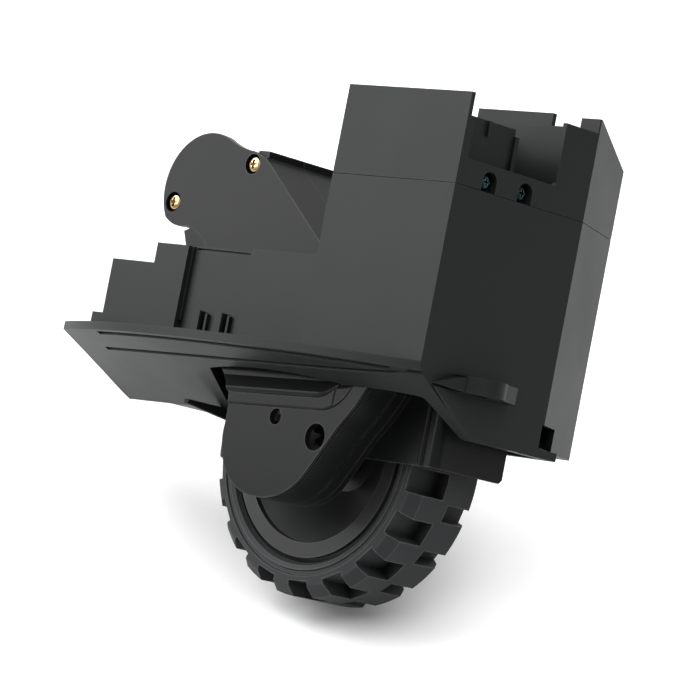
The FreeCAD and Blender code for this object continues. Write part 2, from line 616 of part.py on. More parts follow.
def gear_cover():
    plate = front_prism(PLATE_OUTLINE, FACE_Y, FACE_Y + COVER_T)
    walls = front_prism(WALL_OUTLINE, FACE_Y + 0.9, SPLIT_Y)
    hollow = front_prism(WALL_OUTLINE, FACE_Y + COVER_T, SPLIT_Y + 1, SIDE_T)
    solid = plate.fuse(walls).cut(hollow)
    brow = wheel_brow()
    rim = front_prism(PLATE_OUTLINE, FACE_Y + 0.9, FACE_Y + 1.4)
    rim = rim.cut(front_prism(PLATE_OUTLINE, FACE_Y + 0.8, FACE_Y + 1.5, RIM_GROOVE))
    seam = front_prism(WALL_OUTLINE, SEAM_Y, SEAM_Y + 0.4)
    seam = seam.cut(front_prism(WALL_OUTLINE, SEAM_Y - 0.1, SEAM_Y + 0.5, RIM_GROOVE))
    over_flange = box(-60.0, 60.0, FACE_Y, SPLIT_Y, 9.0, 80.0)
    solid = solid.cut(rim.cut(over_flange)).cut(seam.cut(over_flange))
    lip = box(LIP_X - 4.0, LIP_X, FACE_Y + 0.9, SPLIT_Y, LIP_Z - LIP_DEPTH, LIP_Z)
    solid = join([solid, brow, lip, switch_finger()])
    # Screw bosses and counterbores
    for x, z in SCREW_XZ:
        boss = cyl_y(x, z, 2.4, FACE_Y + 0.9, SPLIT_Y)
        solid = solid.fuse(boss.common(front_prism(PLATE_OUTLINE, FACE_Y, SPLIT_Y)))
        solid = solid.cut(cyl_y(x, z, 2.7, FACE_Y - 1, FACE_Y + 1.5))
        solid = solid.cut(cyl_y(x, z, 1.2, FACE_Y, SPLIT_Y + 1))
    # Bosses that carry the gear shafts
    for (x, z), end in zip(GEARS[1:4], SEAT_FRONT):
        solid = solid.fuse(tube_y(x, z, 2.8, GEAR_SHAFT_R, FACE_Y + COVER_T - 0.5, end))
    solid = solid.fuse(tube_y(WHEEL_X, WHEEL_Z, AXLE_R + 1.3, AXLE_R + 0.05, FACE_Y + COVER_T - 0.5, 8.4))
    # Pivot bore, axle bush seat and the two small front holes
    pivot = tube_y(PIVOT_X, PIVOT_Z, LUG_R - 0.6, PIVOT_R + 1.0, FACE_Y + 1.2, SPLIT_Y)
    solid = solid.fuse(pivot)
    solid = solid.cut(cyl_y(PIVOT_X, PIVOT_Z, PIVOT_R + 1.0, FACE_Y - 3, SPLIT_Y + 3))
    solid = solid.cut(cyl_y(PIVOT_X, PIVOT_Z, LUG_R + 0.6, FACE_Y - 3, FACE_Y + 1.2))
    solid = solid.cut(cyl_y(*HOLE_SMALL, HOLE_SMALL_R, FACE_Y - 1, FACE_Y + COVER_T + 1))
    return solid.cut(cyl_y(*HOLE_LARGE, HOLE_LARGE_R, FACE_Y - 1, FACE_Y + COVER_T + 1))


def gearbox_back():
    plate = front_prism(WALL_OUTLINE, SPLIT_Y, SPLIT_Y + BACK_T)
    deep = front_prism(BOX_OUTLINE, SPLIT_Y + 0.5, BOX_END)
    hollow = front_prism(BOX_OUTLINE, SPLIT_Y + BACK_T, BOX_END + 1, BOX_T)
    solid = plate.fuse(deep).cut(hollow)
    # Raised lip along the top edge and the tab below the lobe
    lip = box(LIP_X - 4.0, LIP_X, SPLIT_Y, BOX_END, LIP_Z - LIP_DEPTH, LIP_Z)
    tab = front_prism([(-61.2, 45.0), (-59.1, 45.8), (-54.0, 45.8), (-50.0, 42.0), (-53.0, 38.5),
                       (-58.6, 39.5)], SPLIT_Y, SPLIT_Y + BACK_T)
    solid = join([solid, lip, tab])
    # Motor pilot, cradle rib and shaft seats
    solid = solid.cut(cyl_y(MOTOR_X, MOTOR_Z, 4.1, SPLIT_Y - 1, SPLIT_Y + BACK_T + 0.1))
    cradle = box(-30.0, -27.6, SPLIT_Y + 1, SPLIT_Y + 20, 34.0, 63.6)
    cradle = cradle.common(front_prism(BOX_OUTLINE, SPLIT_Y, BOX_END))
    cradle = cradle.cut(cyl_y(MOTOR_X, MOTOR_Z, MOTOR_R + 0.3, SPLIT_Y, BOX_END))
    cradle = cradle.cut(box(-31, -26, SPLIT_Y + BACK_T + 0.01, BOX_END, 45.0, 57.0))
    solid = solid.fuse(cradle)
    for (x, z), start in zip(GEARS[1:4], SEAT_BACK):
        solid = solid.fuse(cyl_y(x, z, 2.8, start, SPLIT_Y + BACK_T))
        solid = solid.cut(cyl_y(x, z, GEAR_SHAFT_R, start - 1, SPLIT_Y + 1.2))
    # Axle bearing tube reaching into the wheel dish
    solid = solid.fuse(cyl_y(WHEEL_X, WHEEL_Z, AXLE_R + 2.8, SPLIT_Y + 0.5, DISH_Y - 0.1))
    solid = solid.cut(cyl_y(WHEEL_X, WHEEL_Z, AXLE_R + 1.6, SPLIT_Y - 1, DISH_Y))
    for x, z in SCREW_XZ:
        solid = solid.cut(cyl_y(x, z, 1.0, SPLIT_Y - 1, SPLIT_Y + BACK_T + 1))
    # Pivot bore
    solid = solid.cut(cyl_y(PIVOT_X, PIVOT_Z, PIVOT_R + 1.0, SPLIT_Y - 1, SPLIT_Y + 6))
    solid = solid.cut(cyl_y(PIVOT_X, PIVOT_Z, LUG_R + 0.4, SPLIT_Y + 0.9, SPLIT_Y + 6))
    # Spring hook at the rear of the motor box
    post = cyl_y(SPRING_ARM[0], SPRING_ARM[1], 1.6, BOX_END - 0.4, SPRING_Y + 2.4)
    groove = tube_y(SPRING_ARM[0], SPRING_ARM[1], 2.2, 1.1, SPRING_Y - 0.8, SPRING_Y + 0.8)
    pad = cyl_y(SPRING_ARM[0], SPRING_ARM[1], 3.0, BOX_END - 6.0, BOX_END)
    keep = front_prism(BOX_OUTLINE, SPLIT_Y, BOX_END + 1)
    pad = pad.common(keep).cut(cyl_y(MOTOR_X, MOTOR_Z, MOTOR_R + 0.3, SPLIT_Y, BOX_END + 1))
    bar = box(-54.5, -44.0, BOX_END - 1.6, BOX_END, 53.8, 61.0).common(keep)
    return join([solid, post.cut(groove), pad, bar])


def switch_finger():
    return front_prism([(-57.0, 25.7), (-60.2, 25.0), (-66.0, 26.6), (-66.4, 25.4), (-61.4, 22.9),
                        (-59.0, 24.0)], 9.6, 14.2)


def fender():
    front = front_prism([(12.0, FENDER_Z[0]), (FENDER_X - 2.4, FENDER_Z[0]), (FENDER_X - 2.4, FENDER_Z[1]),
                         (24.0, FENDER_Z[1]), (12.0, 12.0)], SPLIT_Y + BACK_T, SPLIT_Y + BACK_T + FENDER_T)
    corner_y = SPLIT_Y + BACK_T + 2.4
    bead = cyl_z(FENDER_X - 2.4, corner_y, 2.4, FENDER_Z[0], FENDER_Z[1])
    bead = bead.cut(cyl_z(FENDER_X - 2.4, corner_y, 2.4 - FENDER_T, FENDER_Z[0] - 1, FENDER_Z[1] + 1))
    bead = bead.common(box(FENDER_X - 2.4, FENDER_X + 1, SPLIT_Y, corner_y, -20, 40))
    side = side_prism([(corner_y, FENDER_Z[0]), (FENDER_BACK - 1.0, FENDER_Z[0]),
                       (FENDER_BACK, FENDER_Z[0] + 1.0), (FENDER_BACK, 14.0),
                       (corner_y + 10.0, FENDER_Z[1]), (corner_y, FENDER_Z[1])],
                      FENDER_X - FENDER_T, FENDER_X)
    rib = cyl_z(FENDER_X - 4.8, SPLIT_Y + BACK_T + 0.1, 1.0, FENDER_Z[0], FENDER_Z[1])
    rib = rib.common(box(0, 60, SPLIT_Y, SPLIT_Y + BACK_T + 0.6, -20, 40))
    return join([front, bead, side, rib])


def cover_screws():
    solids = []
    for x, z in SCREW_XZ:
        head = cyl_y(x, z, 2.1, FACE_Y + 0.1, FACE_Y + 1.5)
        cross = box(x - 1.3, x + 1.3, FACE_Y - 1, FACE_Y + 0.8, z - 0.28, z + 0.28)
        cross = cross.fuse(box(x - 0.28, x + 0.28, FACE_Y - 1, FACE_Y + 0.8, z - 1.3, z + 1.3))
        shank = cyl_y(x, z, 1.0, FACE_Y + 1.5, SPLIT_Y + BACK_T)
        solids.append(head.cut(cross).fuse(shank).removeSplitter())
    return Part.makeCompound(solids)


def gear_shafts():
    start = FACE_Y + COVER_T
    return Part.makeCompound([cyl_y(x, z, GEAR_SHAFT_R, start, SPLIT_Y + 1.2) for x, z in GEARS[1:4]])


def motor_can():
    front = SPLIT_Y + BACK_T
    can = cyl_y(MOTOR_X, MOTOR_Z, MOTOR_R, front, front + MOTOR_LEN)
    pilot = cyl_y(MOTOR_X, MOTOR_Z, 3.9, front - 1.4, front)
    flat = box(MOTOR_X - 20, MOTOR_X + 20, front - 0.1, front + MOTOR_LEN - 4.0, MOTOR_Z - 20, MOTOR_Z - 10.4)
    bore = cyl_y(MOTOR_X, MOTOR_Z, 1.0 + RUN_GAP, front - 2, front + MOTOR_LEN + 1)
    inside = cyl_y(MOTOR_X, MOTOR_Z, MOTOR_R - 1.0, front + 1.0, front + MOTOR_LEN + 1)
    rotor = tube_y(MOTOR_X, MOTOR_Z, 3.2, 1.0 + RUN_GAP, front, front + 4.0)
    return can.fuse(pilot).cut(flat).cut(inside).fuse(rotor).cut(bore)


def motor_cap():
    start = SPLIT_Y + BACK_T + MOTOR_LEN
    disc = cyl_y(MOTOR_X, MOTOR_Z, MOTOR_R - 0.3, start, start + 1.6)
    spigot = cyl_y(MOTOR_X, MOTOR_Z, MOTOR_R - 1.0, start - 2.0, start)
    hub = cyl_y(MOTOR_X, MOTOR_Z, 3.4, start + 1.6, start + MOTOR_CAP_LEN - 0.6)
    feet = [box(x - 1.2, x + 1.2, start + 1.5, start + TAG_FOOT, MOTOR_Z - 6.9, MOTOR_Z - 4.3) for x in TAG_X]
    solid = join([disc, spigot, hub] + feet + tags(0.0))
    return solid.cut(cyl_y(MOTOR_X, MOTOR_Z, 1.0 + RUN_GAP, start - 3, start + 9))


TAG_X = (MOTOR_X - 5.0, MOTOR_X + 5.0)
TAG_FOOT = 2.6


def tags(gap):
    start = SPLIT_Y + BACK_T + MOTOR_LEN
    return [box(x - 0.25 - gap, x + 0.25 + gap, start + 1.5, start + 4.4,
                MOTOR_Z - 6.6 - gap, MOTOR_Z - 4.6 + gap) for x in TAG_X]


def motor_shaft():
    front = SPLIT_Y + BACK_T
    return cyl_y(MOTOR_X, MOTOR_Z, 1.0, GEAR_Y[0][0] - 0.6, front + MOTOR_LEN + 6.4)


def motor_rotor():
    front = SPLIT_Y + BACK_T
    return tube_y(MOTOR_X, MOTOR_Z, 8.4, 1.0, front + 5.0, front + MOTOR_LEN - 3.0)


def motor_pinion():
    return driver_gear(0, 1.0)


def encoder_disc():
    start = SPLIT_Y + BACK_T + MOTOR_LEN + MOTOR_CAP_LEN
    return tube_y(MOTOR_X, MOTOR_Z, 3.0, 1.0, start, start + 1.6)


def encoder_board():
    front = SPLIT_Y + BACK_T + MOTOR_LEN + TAG_FOOT
    back = front + 1.0
    board = box(MOTOR_X - 9.0, MOTOR_X + 11.0, front, back, MOTOR_Z - 8.4, MOTOR_Z - 3.6)
    chip = box(MOTOR_X - 2.0, MOTOR_X + 2.0, back, back + 0.8, MOTOR_Z - 5.4, MOTOR_Z - 3.8)
    plug = box(MOTOR_X + 6.4, MOTOR_X + 10.4, back, back + 3.2, MOTOR_Z - 8.0, MOTOR_Z - 4.0)
    return join([board, chip, plug]).cut(Part.makeCompound(tags(0.1)))


# Wheel
def ring_lathe(profile):
    corners = [V(r, y, 0) for r, y in profile]
    face = Part.Face(Part.makePolygon(corners + corners[:1]))
    solid = face.revolve(V(0, 0, 0), V(0, 1, 0), 360)
    solid.translate(V(WHEEL_X, 0, WHEEL_Z))
    return solid


def tyre():
    f = TYRE_FRONT
    b = f + TYRE_WIDTH
    wall = TYRE_R - LUG_DEPTH
    bead = TYRE_BORE_R
    profile = [(bead, f + 1.0), (bead + 0.8, f - 0.1), (bead + 2.0, f - 0.5), (bead + 2.4, f + 0.1),
               (bead + 3.2, f + 0.1), (bead + 3.6, f - 0.4), (wall + 1.2, f - 0.1), (wall + 1.7, f + 0.2),
               (TYRE_R, f + SHOULDER_FRONT),
               (TYRE_R, b - SHOULDER_BACK), (TYRE_R - SHOULDER_BACK, b), (bead + 3.4, b + 0.4),
               (bead + 1.2, b + 0.2), (bead, b - 1.0)]
    solid = ring_lathe(profile)
    pitch = 360.0 / LUGS
    step = 2 * math.pi * TYRE_R / LUGS
    cuts = []
    for k in range(LUGS):
        for y0, y1, share, turn in ((f - 2.0, f + LUG_FRONT, POCKET_FRONT, 0.0),
                                    (b - LUG_BACK, b + 2.0, POCKET_BACK, 0.5)):
            pocket = box(-step * share / 2, step * share / 2, y0, y1, wall, TYRE_R + 2)
            pocket.rotate(V(0, 0, 0), V(0, 1, 0), pitch * (k + turn) + TREAD_TURN)
            pocket.translate(V(WHEEL_X, 0, WHEEL_Z))
            cuts.append(pocket)
    return solid.cut(cuts)


def hub():
    f = TYRE_FRONT
    b = f + TYRE_WIDTH
    profile = [(RING_IN_R, f + 0.2), (RING_OUT_R, f + 0.2), (RING_OUT_R, f + 1.6),
               (TYRE_BORE_R - 0.02, f + 2.2),
               (TYRE_BORE_R - 0.02, b - 1.4), (TYRE_BORE_R - 2.2, b - 1.4), (TYRE_BORE_R - 2.2, f + 6.0),
               (RING_IN_R - 0.6, f + 4.4), (DISH_R + 1.0, DISH_Y + 2.2), (DISH_R + 0.4, b - 1.0),
               (AXLE_R + 0.5, b - 1.0),
               (AXLE_R, b - 1.5), (AXLE_R, DISH_Y + 0.2), (DISH_R, DISH_Y + 0.2),
               (DISH_R + 1.2, DISH_Y - 0.8),
               (RING_IN_R - 0.3, f + 1.6)]
    solid = ring_lathe(profile)
    ribs = []
    for k in range(6):
        rib = box(-0.8, 0.8, f + 8.0, b - 2.0, DISH_R, TYRE_BORE_R - 2.0)
        rib = rib.cut(side_cone(f))
        rib.rotate(V(0, 0, 0), V(0, 1, 0), 60.0 * k + 30)
        rib.translate(V(WHEEL_X, 0, WHEEL_Z))
        ribs.append(rib)
    return join([solid] + ribs)


def side_cone(f):
    return side_prism([(f - 2, RING_IN_R + 6), (f + 5.4, RING_IN_R - 1.0), (DISH_Y + 1.6, DISH_R + 1.0),
                       (DISH_Y + 1.6, DISH_R - 3.0), (f - 2, DISH_R - 3.0)], -3.0, 3.0)


def axle():
    f = TYRE_FRONT
    b = f + TYRE_WIDTH
    rod = cyl_y(WHEEL_X, WHEEL_Z, AXLE_R, AXLE_FRONT, b + 0.4)
    head = cyl_y(WHEEL_X, WHEEL_Z, AXLE_R + 2.2, b - 1.0, b + 1.0)
    return rod.fuse(head).removeSplitter()


def axle_bushes():
    bore = AXLE_R + 0.05
    front = tube_y(WHEEL_X, WHEEL_Z, AXLE_R + 1.6, bore, SPLIT_Y, SPLIT_Y + 5.0)
    back = tube_y(WHEEL_X, WHEEL_Z, AXLE_R + 1.6, bore, DISH_Y - 6.0, DISH_Y - 0.1)
    return Part.makeCompound([front, back])


def pivot_bushes():
    bore = PIVOT_R + PIVOT_GAP
    front = tube_y(PIVOT_X, PIVOT_Z, PIVOT_R + 1.0, bore, FACE_Y + 1.2, FACE_Y + 6.2)
    back = tube_y(PIVOT_X, PIVOT_Z, PIVOT_R + 1.0, bore, SPLIT_Y - 4.2, SPLIT_Y + 0.9)
    return Part.makeCompound([front, back])


def pivot_pin():
    pin = cyl_y(PIVOT_X, PIVOT_Z, PIVOT_R, WALL_T - 0.8, SPLIT_Y + 6.0)
    head = cyl_y(PIVOT_X, PIVOT_Z, PIVOT_R + 1.2, SPLIT_Y + 5.2, SPLIT_Y + 6.4)
    return pin.fuse(head).removeSplitter()


# Suspension spring between arm hook and housing hook, one bent wire
def wire_solid(path):
    rings = []
    normal = V(0, 1, 0)
    for k in range(len(path)):
        ahead = path[min(k + 1, len(path) - 1)] - path[max(k - 1, 0)]
        ahead.normalize()
        normal = normal - ahead * normal.dot(ahead)
        normal.normalize()
        side = ahead.cross(normal)
        ring = []
        for j in range(WIRE_SIDES):
            around = 2 * math.pi * j / WIRE_SIDES
            out = normal * math.cos(around) + side * math.sin(around)
            ring.append(path[k] + out * SPRING_WIRE)
        rings.append(ring)
    faces = [Part.Face(Part.makePolygon(end + end[:1])) for end in (rings[0], rings[-1])]
    for low, high in zip(rings, rings[1:]):
        for j in range(WIRE_SIDES):
            i = (j + 1) % WIRE_SIDES
            for corners in ((low[j], low[i], high[i]), (low[j], high[i], high[j])):
                faces.append(Part.Face(Part.makePolygon(list(corners) + [corners[0]])))
    solid = Part.makeSolid(Part.makeShell(faces))
    if solid.Volume < 0:
        solid.reverse()
    return solid


def spring_loop(centre, start, stop):
    points = []
    for k in range(LOOP_STEPS + 1):
        turn = math.radians(start + (stop - start) * k / LOOP_STEPS)
        points.append(V(LOOP_R * math.sin(turn), 0, centre + LOOP_R * math.cos(turn)))
    return points


def spring():
    x0, z0 = SPRING_ARM
    x1, z1 = SPRING_BASE[0] + 0.6, SPRING_BASE[1]
    length = math.hypot(x1 - x0, z1 - z0)
    body = length - 2 * LOOP_REACH
    count = SPRING_TURNS * COIL_STEPS
    path = spring_loop(-LOOP_REACH, -300.0, 0.0) + [V(0, 0, -SPRING_WIRE * 3)]
    for k in range(count + 1):
        turn = 2 * math.pi * k / COIL_STEPS
        path.append(V(SPRING_R * math.cos(turn), SPRING_R * math.sin(turn), body * k / count))
    path += [V(0, 0, body + SPRING_WIRE * 3)] + spring_loop(body + LOOP_REACH, 180.0, 480.0)
    solid = wire_solid(path)
    solid.rotate(V(0, 0, 0), V(0, 1, 0), math.degrees(math.atan2(x1 - x0, z1 - z0)))
    solid.translate(V(x0 + LOOP_REACH * (x1 - x0) / length, SPRING_Y, z0 + LOOP_REACH * (z1 - z0) / length))
    return solid


# Wheel drop switch
def drop_switch():
    body = box(SWITCH_X[0], SWITCH_X[1], SWITCH_Y[0], SWITCH_Y[1], SWITCH_Z[0], SWITCH_Z[1])
    for x in (SWITCH_X[0] + 3.2, SWITCH_X[1] - 3.2):
        body = body.cut(cyl_y(x, sum(SWITCH_Z) / 2 - 0.6, 1.05, SWITCH_Y[0] - 1, SWITCH_Y[1] + 1))
    legs = [box(SWITCH_X[0] + s, SWITCH_X[0] + s + 0.6, SWITCH_Y[1] - 0.1, SWITCH_Y[1] + 3.0, 31.0, 32.2)
            for s in (1.4, 6.1, 10.8)]
    ear = tube_y(LEVER_X, LEVER_Z, 0.9, 0.45, SWITCH_Y[0], SWITCH_Y[0] + 1.0)
    ear2 = tube_y(LEVER_X, LEVER_Z, 0.9, 0.45, SWITCH_Y[1] - 1.0, SWITCH_Y[1])
    return join([body, ear, ear2] + legs)


def switch_lever():
    axle_pin = cyl_y(LEVER_X, LEVER_Z, 0.4, SWITCH_Y[0] + 0.1, SWITCH_Y[1] - 0.1)
    eye = cyl_y(LEVER_X, LEVER_Z, 0.7, SWITCH_Y[0] + 1.2, SWITCH_Y[1] - 1.2)
    leaf = front_prism([(LEVER_X, LEVER_Z - 0.1), (LEVER_X, LEVER_Z - 0.5), (-65.6, 26.95), (-66.6, 27.4),
                        (-66.4, 27.7), (-65.5, 27.3)], SWITCH_Y[0] + 1.2, SWITCH_Y[1] - 1.2)
    return join([axle_pin, eye, leaf])


os.makedirs("parts", exist_ok=True)
save(housing_base(), "housing_base")
save(top_cap(), "top_cap")
save(cap_screws(), "cap_screws")
save(bay_connector(), "bay_connector")
save(connector_pins(), "connector_pins")
save(drop_switch(), "drop_switch")
save(switch_lever(), "switch_lever")
save(pivot_pin(), "pivot_pin")
save(gear_cover(), "gear_cover")
save(gearbox_back(), "gearbox_back")
save(fender(), "fender")
save(cover_screws(), "cover_screws")
save(gear_shafts(), "gear_shafts")
save(pivot_bushes(), "pivot_bushes")
save(axle_bushes(), "axle_bushes")
save(motor_can(), "motor_can")
save(motor_cap(), "motor_cap")
save(motor_rotor(), "motor_rotor")
save(motor_shaft(), "motor_shaft")
save(motor_pinion(), "motor_pinion")
save(encoder_disc(), "encoder_disc")
save(encoder_board(), "encoder_board")
save(compound_gear(1), "gear_first")
save(compound_gear(2), "gear_second")
save(compound_gear(3), "gear_third")
save(output_gear(), "output_gear")
save(axle(), "axle")
save(hub(), "hub")
save(tyre(), "tyre")
save(spring(), "suspension_spring")
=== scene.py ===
import json
import math

import bmesh
import bpy
from mathutils import Matrix, Vector


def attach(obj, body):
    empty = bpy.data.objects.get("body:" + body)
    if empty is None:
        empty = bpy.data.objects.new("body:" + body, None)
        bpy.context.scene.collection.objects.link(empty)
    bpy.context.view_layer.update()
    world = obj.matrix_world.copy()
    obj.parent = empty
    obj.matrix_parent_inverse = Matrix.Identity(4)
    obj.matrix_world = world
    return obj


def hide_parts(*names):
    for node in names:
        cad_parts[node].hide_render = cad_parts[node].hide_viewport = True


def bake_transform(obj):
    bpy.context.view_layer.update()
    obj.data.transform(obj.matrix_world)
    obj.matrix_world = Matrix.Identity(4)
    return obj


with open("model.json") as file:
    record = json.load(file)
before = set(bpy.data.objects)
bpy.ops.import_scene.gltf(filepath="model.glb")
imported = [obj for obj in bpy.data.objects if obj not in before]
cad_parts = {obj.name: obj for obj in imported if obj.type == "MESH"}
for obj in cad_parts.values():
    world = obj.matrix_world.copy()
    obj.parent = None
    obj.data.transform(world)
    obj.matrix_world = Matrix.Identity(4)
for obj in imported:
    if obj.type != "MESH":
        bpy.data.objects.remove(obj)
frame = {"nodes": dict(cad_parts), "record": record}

bl_info = {
    "name": "Robot vacuum wheel module",
    "version": (1, 0, 0),
    "blender": (4, 5, 0),
    "location": "View3D > Sidebar > Wheel Module",
    "description": "Looks, small details and studio stage for a sprung drive wheel module",
    "category": "Object",
}

MM = 0.001
ORIGIN = Vector((56.6, 19.3, 15.1))
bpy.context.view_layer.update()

# Screws, in the drawing's millimetres. Sizes are the head's radius, height and dome, then the
# shank's radius and length. A cross is given by its reach, its half width and its depth.
COVER_SCREWS = ((-52.3, 50.5), (-25.1, 62.2))
COVER_SEAT_Y = 7.0
COVER_SIZES = (2.1, 1.4, 0.7, 1.0, 14.5)
COVER_CROSS = (1.5, 0.42, 1.05)
CAP_SCREW_Y = (12.0, 25.4)
CAP_SCREW_Z = 63.4
CAP_SEAT_X = 50.5
CAP_SIZES = (2.0, 1.6, 0.6, 1.1, 6.0)
CAP_CROSS = (1.25, 0.3, 0.9)
CROWN_STEPS = 8
TURN_STEPS = 40
CROSS_TAPER = 0.45
CROSS_CLEAR = 0.2
SCREW_EDGE = 0.06
SCREW_EDGE_ANGLE = math.radians(35)
SCREW_SHARP_ANGLE = math.radians(30)

# Rib in the wheel well: x of its middle, half thickness, and how far it hangs at each y
RIB_X = -45.0
RIB_HALF = 0.7
RIB_ROOT_EXTRA = 0.3
RIB_ROOT_Z = 0.4
RIB_EDGE = 0.2
RIB_LINE = ((17.0, 0.8), (33.0, 2.7), (46.0, 2.7), (50.0, 1.8))

# Suspension spring: x and z of the pegs on the arm and on the housing, and the bent wire
SPRING_ENDS = ((-50.0, 57.0), (8.0, 51.0))
SPRING_Y = 56.4
SPRING_RADIUS = 3.4
SPRING_WIRE = 0.55
SPRING_TURNS = 13
LOOP_RADIUS = 1.9
LOOP_REACH = 5.4
ARM_LOOP = (-300.0, 0.0)
HOUSING_LOOP = (180.0, 480.0)
COIL_STEPS = 24
LOOP_STEPS = 24
WIRE_SIDES = 10

# Surface masks for painted highlights on edges and painted shade in hollows, and grain, lengths in
# metres
GRAIN_SIZE = 2600.0
FINE_GRAIN = 3000.0
GRAIN_HEIGHT = 0.00004
CLOUD_SCALE = 38.0
CLOUD_SPAN = (0.3, 0.7)
# Painted highlight: base colour made lighter along edges, broken into patches by the cloud noise
EDGE_WIDTH = 0.0005
EDGE_SPAN = (0.985, 0.86)
PATCH_SPAN = (0.30, 0.50)
# Painted shade: base colour darkened where ambient occlusion finds a hollow
SHADE_REACH = 0.005
SHADE_SPAN = (0.72, 0.35)
SHADE_SHARE = 0.3
CAD_EDGE_ANGLE = math.radians(32)

# Floor: its tilt in the camera's view, its reach, and the painted light it adds for white rays,
# weak under the wheel and strong to its right
FLOOR_TILT = math.radians(24)
FLOOR_REACH = 3.0
FLOOR_COLOUR = (0.8, 0.8, 0.8, 1.0)
FLOOR_ROUGHNESS = 0.9
FLOOR_PAINTED_LIGHT = (0.08, 0.55)
SIDE_FADE = (0.005, 0.05)
FAR_FADE = (0.15, 0.5)
WHITE = (1.0, 1.0, 1.0, 1.0)

# Lamps: name, shares of the camera's right, up and back, distance and side length, then the
# name of the setting that gives the power
LIGHT_TARGET = (0, 30, 30)
LAMPS = (
    ("Front box", (-1.0, 0.75, 0.15), 0.5, 0.5, "front_power"),
    ("Top box", (0.3, 0.63, 0.72), 0.9, 0.8, "top_power"),
)

# Camera
FORWARD = Vector((-0.7053, 0.7053, 0.0705)).normalized()
VIEW_UP = Vector((-0.0852, -0.1831, 0.9794))
EYE_PLACE = (818.28, -790.04, -62.33)
LENS = 231.4
SENSOR = 36.0
CLIP = (0.05, 20.0)

SETTINGS = ("housing_edge", "arm_edge", "front_power", "top_power", "room_light")


def place(x, y, z):
    """A point given in the drawing's millimetres, in the row frame's metres."""
    return (Vector((x, y, z)) - ORIGIN) * MM


# Shader building blocks

def new_group(name, inputs, outputs):
    """An empty node group with the given sockets."""
    group = bpy.data.node_groups.new(name, "ShaderNodeTree")
    for label, kind, value in inputs:
        socket = group.interface.new_socket(label, in_out="INPUT", socket_type=kind)
        if value is not None:
            socket.default_value = value
    for label, kind in outputs:
        group.interface.new_socket(label, in_out="OUTPUT", socket_type=kind)
    return group


def add(tree, kind, **settings):
    """A node with its attributes and inputs set."""
    node = tree.nodes.new(kind)
    for key, value in settings.items():
        if hasattr(node, key):
            setattr(node, key, value)
        else:
            node.inputs[key.replace("_", " ")].default_value = value
    return node


def join(tree, source, target):
    """A link between two sockets."""
    tree.links.new(source, target)


def ramp(tree, value, span, levels=(0.0, 1.0), **settings):
    """A value that runs between two levels while its input crosses a span."""
    node = add(tree, "ShaderNodeMapRange", From_Min=span[0], From_Max=span[1],
               To_Min=levels[0], To_Max=levels[1], **settings)
    join(tree, value, node.inputs["Value"])
    return node.outputs["Result"]


def combine(tree, operation, first, second):
    """The result of a sum on two values."""
    node = add(tree, "ShaderNodeMath", operation=operation)
    join(tree, first, node.inputs[0])
    join(tree, second, node.inputs[1])
    return node.outputs["Value"]


def moulded_surface():
    """Masks for painted highlights on edges and painted shade in hollows, fine spark grain and
    slow gloss changes.
    """
    kind = "NodeSocketFloat"
    group = new_group("Moulded surface",
                      [("Grain Size", kind, GRAIN_SIZE), ("Edge Width", kind, EDGE_WIDTH)],
                      [("Edge", kind), ("Hollow", kind), ("Grain", kind), ("Cloud", kind)])
    source = add(group, "NodeGroupInput")
    sink = add(group, "NodeGroupOutput")
    place_on = add(group, "ShaderNodeTexCoord").outputs["Object"]
    grain = add(group, "ShaderNodeTexNoise", noise_dimensions="3D", Detail=2.0, Roughness=0.6)
    cloud = add(group, "ShaderNodeTexNoise", noise_dimensions="3D", Scale=CLOUD_SCALE, Detail=4.0,
                Roughness=0.55)
    join(group, place_on, grain.inputs["Vector"])
    join(group, place_on, cloud.inputs["Vector"])
    join(group, source.outputs["Grain Size"], grain.inputs["Scale"])

    # Edge mask for the painted edge highlight
    bevel = add(group, "ShaderNodeBevel", samples=4)
    join(group, source.outputs["Edge Width"], bevel.inputs["Radius"])
    geometry = add(group, "ShaderNodeNewGeometry")
    bend = add(group, "ShaderNodeVectorMath", operation="DOT_PRODUCT")
    join(group, bevel.outputs["Normal"], bend.inputs[0])
    join(group, geometry.outputs["Normal"], bend.inputs[1])
    edge = ramp(group, bend.outputs["Value"], EDGE_SPAN, clamp=True)
    patch = ramp(group, cloud.outputs["Fac"], PATCH_SPAN, clamp=True)
    join(group, combine(group, "MULTIPLY", edge, patch), sink.inputs["Edge"])

    # Painted shade: ambient occlusion marks the hollows that get a darker base colour
    shade_occlusion = add(group, "ShaderNodeAmbientOcclusion", samples=6, only_local=True,
                  Distance=SHADE_REACH)
    join(group, ramp(group, shade_occlusion.outputs["AO"], SHADE_SPAN, clamp=True), sink.inputs["Hollow"])
    join(group, grain.outputs["Fac"], sink.inputs["Grain"])
    join(group, cloud.outputs["Fac"], sink.inputs["Cloud"])
    return group


